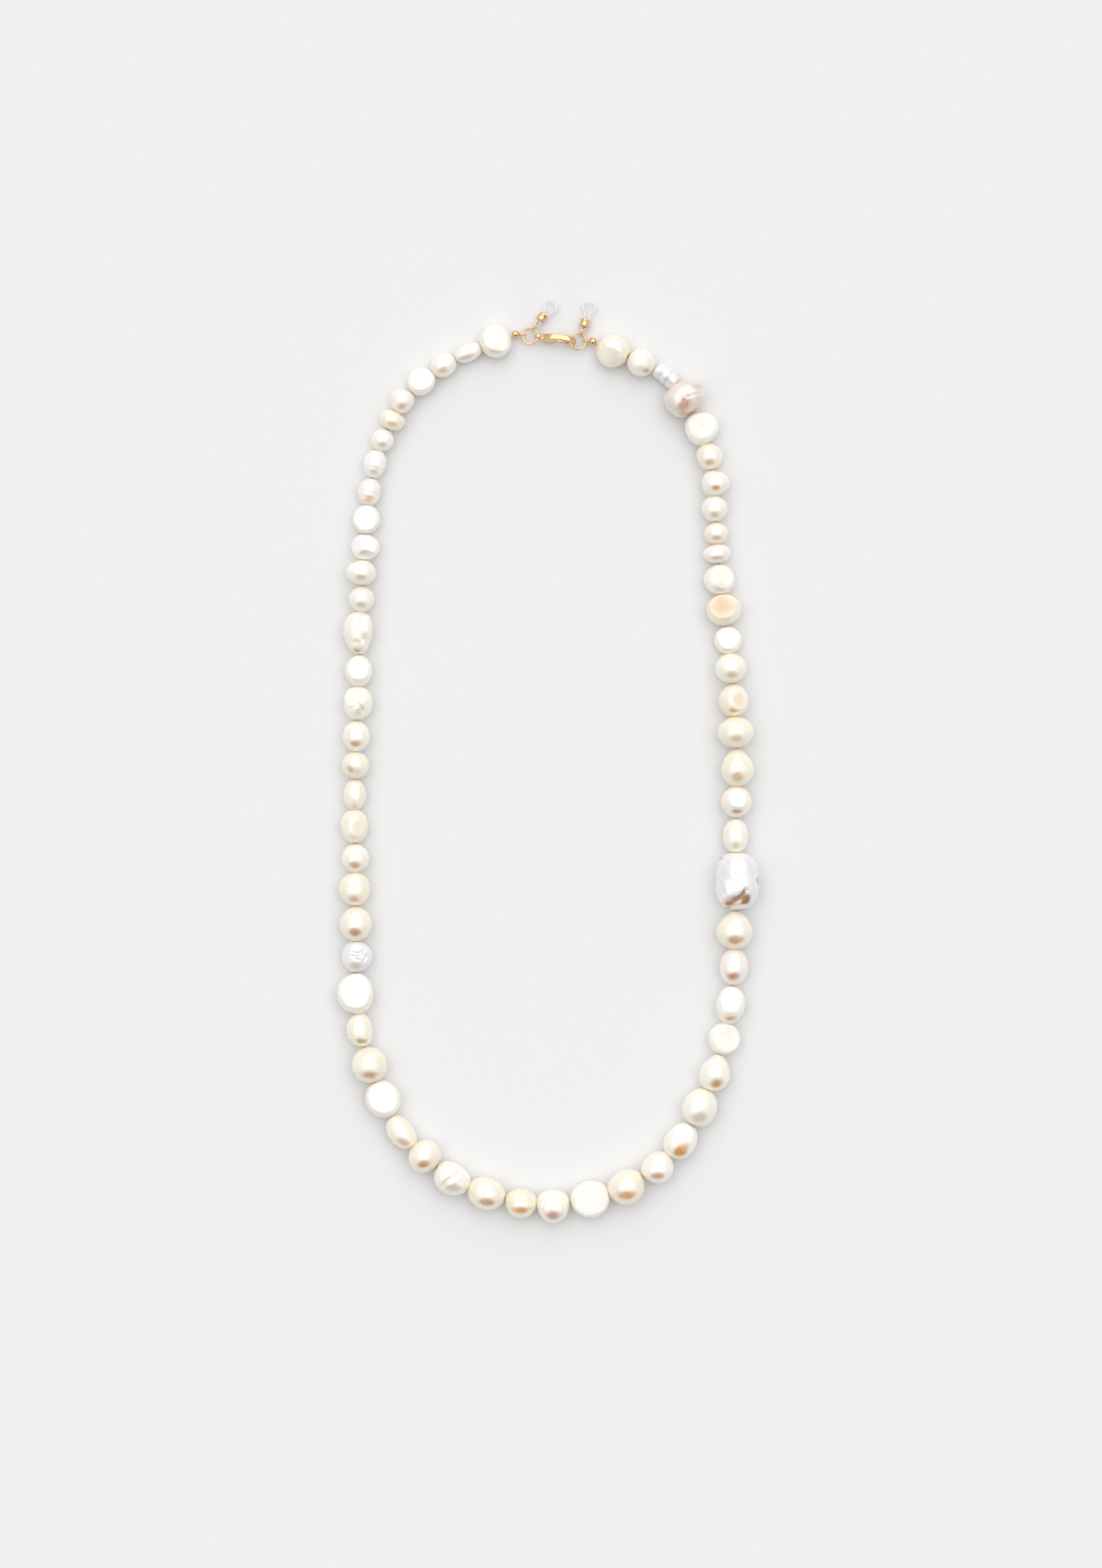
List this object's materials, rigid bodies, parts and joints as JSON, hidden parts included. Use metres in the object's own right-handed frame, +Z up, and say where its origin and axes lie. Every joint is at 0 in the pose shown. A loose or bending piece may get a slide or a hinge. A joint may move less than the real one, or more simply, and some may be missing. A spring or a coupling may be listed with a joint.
{
  "type": "pearl necklace",
  "caption": "Strand of unmatched freshwater pearls laid in a closed loop, with a gold lobster clasp and clear silicone loops that can hold a pair of glasses.",
  "frame": {"origin": "centre of the bounding box in plan, on the surface that the necklace lies on", "axes": "+Z up off the surface, +Y from the bottom of the loop towards the clasp"},
  "size_m": [0.1384, 0.302, 0.0112],
  "materials": {
    "nacre": "glossy ivory nacre with pink and peach tints",
    "gold": "polished warm gold plate",
    "silicone": "clear silicone, slightly cloudy",
    "silk": "white beading silk",
    "spring_steel": "bare spring leaf"
  },
  "bodies": {
    "clasp": {"clasp_body": "gold", "clasp_pin": "gold", "clasp_spring": "spring_steel", "thread": "silk"},
    "lever": {"clasp_lever": "gold"},
    "ring_left": {"jump_ring_left": "gold"},
    "ring_right": {"jump_ring_right": "gold"},
    "tie_left": {"tie_ring_left": "gold"},
    "tie_right": {"tie_ring_right": "gold"},
    "holder_left": {"silicone_holder_left": "silicone"},
    "holder_right": {"silicone_holder_right": "silicone"},
    "cinch_left": {"cinch_left": "gold"},
    "cinch_right": {"cinch_right": "gold"},
    "strand_01": {"pearl_01": "nacre", "pearl_02": "nacre", "knot_cover_left": "gold"},
    "strand_02": {"pearls_03_04": "nacre"},
    "strand_03": {"pearls_05_06": "nacre"},
    "strand_04": {"pearls_07_08": "nacre"},
    "strand_05": {"pearls_09_10": "nacre"},
    "strand_06": {"pearls_11_12": "nacre"},
    "strand_07": {"pearl_13": "nacre", "pearl_14": "nacre"},
    "strand_08": {"pearls_15_16": "nacre"},
    "strand_09": {"pearls_17_18": "nacre"},
    "strand_10": {"pearls_19_20": "nacre"},
    "strand_11": {"pearls_21_22": "nacre"},
    "strand_12": {"pearls_23_24": "nacre"},
    "strand_13": {"pearl_25": "nacre", "pearl_26": "nacre"},
    "strand_14": {"pearls_27_28": "nacre"},
    "strand_15": {"pearls_29_30": "nacre"},
    "strand_16": {"pearls_31_32": "nacre"},
    "strand_17": {"pearl_33": "nacre", "pearl_34": "nacre"},
    "strand_18": {"pearl_35": "nacre", "pearl_36": "nacre"},
    "strand_19": {"pearls_37_38": "nacre"},
    "strand_20": {"pearl_39": "nacre", "pearl_40": "nacre"},
    "strand_21": {"pearls_41_42": "nacre"},
    "strand_22": {"pearl_43": "nacre", "pearl_44": "nacre"},
    "strand_23": {"pearl_45": "nacre", "pearl_46": "nacre"},
    "strand_24": {"pearl_47": "nacre", "pearl_48": "nacre"},
    "strand_25": {"pearls_49_50": "nacre"},
    "strand_26": {"pearls_51_52": "nacre"},
    "strand_27": {"pearl_53": "nacre", "pearl_54": "nacre"},
    "strand_28": {"pearls_55_56": "nacre"},
    "strand_29": {"pearls_57_58": "nacre"},
    "strand_30": {"pearl_59": "nacre", "pearl_60": "nacre"},
    "strand_31": {"pearl_61": "nacre", "pearl_62": "nacre"},
    "strand_32": {"pearl_63": "nacre", "pearl_64": "nacre", "knot_cover_right": "gold"}
  },
  "joints": [
    {"name": "lever_open", "type": "hinge", "parent": "clasp", "child": "lever", "pos_m": [0.00038, 0.13811, 0.00213], "axis": [-0.1177, -0.9587, 0.2588], "range_deg": [0, 12], "stiffness_Nm_per_rad": 0.01, "springref_deg": -11.46, "deforming": ["clasp_spring"]},
    {"name": "ring_left_swing", "type": "hinge", "parent": "clasp", "child": "ring_left", "pos_m": [-0.00316, 0.13878, 0.003], "axis": [0, 0, -1], "range_deg": [0, 25], "deforming": ["thread"]},
    {"name": "ring_right_swing", "type": "hinge", "parent": "clasp", "child": "ring_right", "pos_m": [0.00726, 0.1375, 0.003], "axis": [0, 0, 1], "range_deg": [0, 8], "deforming": ["thread"]},
    {"name": "tie_left_swing", "type": "hinge", "parent": "ring_left", "child": "tie_left", "pos_m": [-0.00479, 0.14155, 0.00258], "axis": [0.788, -0.6157, 0], "range_deg": [0, 35]},
    {"name": "holder_left_swing", "type": "hinge", "parent": "tie_left", "child": "holder_left", "pos_m": [-0.00344, 0.14329, 0.00258], "axis": [0.788, -0.6157, 0], "range_deg": [-5, 24]},
    {"name": "cinch_left_slide", "type": "slide", "parent": "holder_left", "child": "cinch_left", "axis": [0.6142, 0.7861, -0.0698], "range_m": [-0.0014, 0.0009]},
    {"name": "tie_right_swing", "type": "hinge", "parent": "ring_right", "child": "tie_right", "pos_m": [0.01103, 0.13977, 0.00221], "axis": [0.9613, -0.2756, 0], "range_deg": [0, 35]},
    {"name": "holder_right_swing", "type": "hinge", "parent": "tie_right", "child": "holder_right", "pos_m": [0.01164, 0.14189, 0.00221], "axis": [0.9613, -0.2756, 0], "range_deg": [-5, 24]},
    {"name": "cinch_right_slide", "type": "slide", "parent": "holder_right", "child": "cinch_right", "axis": [0.275, 0.9589, -0.0698], "range_m": [-0.0005, 0.0018]},
    {"name": "strand_01_lift", "type": "hinge", "parent": "ring_left", "child": "strand_01", "pos_m": [-0.00831, 0.1395, 0.0019], "axis": [0.1382, 0.9904, 0], "range_deg": [-12, 12], "deforming": ["thread"]},
    {"name": "strand_32_lift", "type": "hinge", "parent": "ring_right", "child": "strand_32", "pos_m": [0.01246, 0.13743, 0.0019], "axis": [-0.0127, -0.9999, 0], "range_deg": [-12, 12], "deforming": ["thread"]},
    {"name": "strand_02_side", "type": "hinge", "parent": "strand_01", "child": "strand_02", "pos_m": [-0.0305, 0.13181, 0.0032], "axis": [0, 0, -1], "range_deg": [0, 20], "deforming": ["thread"]},
    {"name": "strand_31_side", "type": "hinge", "parent": "strand_32", "child": "strand_31", "pos_m": [0.03452, 0.12796, 0.00361], "axis": [0, 0, 1], "range_deg": [0, 20], "deforming": ["thread"]},
    {"name": "strand_03_lift", "type": "hinge", "parent": "strand_02", "child": "strand_03", "pos_m": [-0.04466, 0.1205, 0.00352], "axis": [0.7389, -0.6738, 0], "range_deg": [-18, 18], "deforming": ["thread"]},
    {"name": "strand_30_lift", "type": "hinge", "parent": "strand_31", "child": "strand_30", "pos_m": [0.04713, 0.1134, 0.00468], "axis": [0.8727, 0.4883, 0], "range_deg": [-18, 18], "deforming": ["thread"]},
    {"name": "strand_04_side", "type": "hinge", "parent": "strand_03", "child": "strand_04", "pos_m": [-0.05277, 0.10856, 0.00359], "axis": [0, 0, -1], "range_deg": [0, 20], "deforming": ["thread"]},
    {"name": "strand_29_side", "type": "hinge", "parent": "strand_30", "child": "strand_29", "pos_m": [0.05346, 0.09511, 0.00419], "axis": [0, 0, 1], "range_deg": [0, 20], "deforming": ["thread"]},
    {"name": "strand_05_lift", "type": "hinge", "parent": "strand_04", "child": "strand_05", "pos_m": [-0.05739, 0.09254, 0.00351], "axis": [-0.9813, 0.1925, 0], "range_deg": [-18, 18], "deforming": ["thread"]},
    {"name": "strand_28_lift", "type": "hinge", "parent": "strand_29", "child": "strand_28", "pos_m": [0.05469, 0.07818, 0.00383], "axis": [-0.9968, -0.0799, 0], "range_deg": [-18, 18], "deforming": ["thread"]},
    {"name": "strand_06_side", "type": "hinge", "parent": "strand_05", "child": "strand_06", "pos_m": [-0.05989, 0.07424, 0.00384], "axis": [0, 0, -1], "range_deg": [0, 20], "deforming": ["thread"]},
    {"name": "strand_27_side", "type": "hinge", "parent": "strand_28", "child": "strand_27", "pos_m": [0.05601, 0.06451, 0.00369], "axis": [0, 0, 1], "range_deg": [0, 20], "deforming": ["thread"]},
    {"name": "strand_07_lift", "type": "hinge", "parent": "strand_06", "child": "strand_07", "pos_m": [-0.06079, 0.05729, 0.00435], "axis": [0.9989, -0.0473, 0], "range_deg": [-18, 18], "deforming": ["thread"]},
    {"name": "strand_26_lift", "type": "hinge", "parent": "strand_27", "child": "strand_26", "pos_m": [0.05811, 0.04415, 0.00396], "axis": [0.9929, 0.1189, 0], "range_deg": [-18, 18], "deforming": ["thread"]},
    {"name": "strand_08_side", "type": "hinge", "parent": "strand_07", "child": "strand_08", "pos_m": [-0.06163, 0.03484, 0.00421], "axis": [0, 0, -1], "range_deg": [0, 20], "deforming": ["thread"]},
    {"name": "strand_25_side", "type": "hinge", "parent": "strand_26", "child": "strand_25", "pos_m": [0.06032, 0.0253, 0.00476], "axis": [0, 0, 1], "range_deg": [0, 20], "deforming": ["thread"]},
    {"name": "strand_09_lift", "type": "hinge", "parent": "strand_08", "child": "strand_09", "pos_m": [-0.06249, 0.01338, 0.00421], "axis": [-0.9993, 0.0361, 0], "range_deg": [-18, 18], "deforming": ["thread"]},
    {"name": "strand_24_lift", "type": "hinge", "parent": "strand_25", "child": "strand_24", "pos_m": [0.06166, 0.00412, 0.00524], "axis": [-0.9996, -0.0278, 0], "range_deg": [-18, 18], "deforming": ["thread"]},
    {"name": "strand_10_side", "type": "hinge", "parent": "strand_09", "child": "strand_10", "pos_m": [-0.06305, -0.00583, 0.00384], "axis": [0, 0, -1], "range_deg": [0, 20], "deforming": ["thread"]},
    {"name": "strand_23_side", "type": "hinge", "parent": "strand_24", "child": "strand_23", "pos_m": [0.06146, -0.01859, 0.0043], "axis": [0, 0, 1], "range_deg": [0, 20], "deforming": ["thread"]},
    {"name": "strand_11_lift", "type": "hinge", "parent": "strand_10", "child": "strand_11", "pos_m": [-0.06312, -0.0268, 0.00416], "axis": [0.9999, 0.016, 0], "range_deg": [-18, 18], "deforming": ["thread"]},
    {"name": "strand_22_lift", "type": "hinge", "parent": "strand_23", "child": "strand_22", "pos_m": [0.06136, -0.0488, 0.00559], "axis": [1, -0.0069, 0], "range_deg": [-18, 18], "deforming": ["thread"]},
    {"name": "strand_12_side", "type": "hinge", "parent": "strand_11", "child": "strand_12", "pos_m": [-0.06271, -0.04727, 0.00452], "axis": [0, 0, -1], "range_deg": [0, 20], "deforming": ["thread"]},
    {"name": "strand_21_side", "type": "hinge", "parent": "strand_22", "child": "strand_21", "pos_m": [0.06039, -0.07324, 0.00442], "axis": [0, 0, 1], "range_deg": [0, 20], "deforming": ["thread"]},
    {"name": "strand_13_lift", "type": "hinge", "parent": "strand_12", "child": "strand_13", "pos_m": [-0.06282, -0.06899, 0.00416], "axis": [-0.9988, -0.0485, 0], "range_deg": [-18, 18], "deforming": ["thread"]},
    {"name": "strand_20_lift", "type": "hinge", "parent": "strand_21", "child": "strand_20", "pos_m": [0.05622, -0.0958, 0.0042], "axis": [-0.9602, 0.2794, 0], "range_deg": [-18, 18], "deforming": ["thread"]},
    {"name": "strand_14_side", "type": "hinge", "parent": "strand_13", "child": "strand_14", "pos_m": [-0.06, -0.09327, 0.00477], "axis": [0, 0, -1], "range_deg": [0, 20], "deforming": ["thread"]},
    {"name": "strand_19_side", "type": "hinge", "parent": "strand_20", "child": "strand_19", "pos_m": [0.04705, -0.1187, 0.00468], "axis": [0, 0, 1], "range_deg": [0, 20], "deforming": ["thread"]},
    {"name": "strand_15_lift", "type": "hinge", "parent": "strand_14", "child": "strand_15", "pos_m": [-0.05122, -0.11601, 0.00426], "axis": [0.8569, 0.5154, 0], "range_deg": [-18, 18], "deforming": ["thread"]},
    {"name": "strand_18_lift", "type": "hinge", "parent": "strand_19", "child": "strand_18", "pos_m": [0.03104, -0.13553, 0.00511], "axis": [0.5363, -0.8441, 0], "range_deg": [-18, 18], "deforming": ["thread"]},
    {"name": "strand_16_side", "type": "hinge", "parent": "strand_15", "child": "strand_16", "pos_m": [-0.03646, -0.13246, 0.0049], "axis": [0, 0, -1], "range_deg": [0, 20], "deforming": ["thread"]},
    {"name": "strand_17_side", "type": "hinge", "parent": "strand_18", "child": "strand_17", "pos_m": [0.00729, -0.14404, 0.00441], "axis": [0, 0, 1], "range_deg": [0, 20], "deforming": ["thread"]}
  ]
}
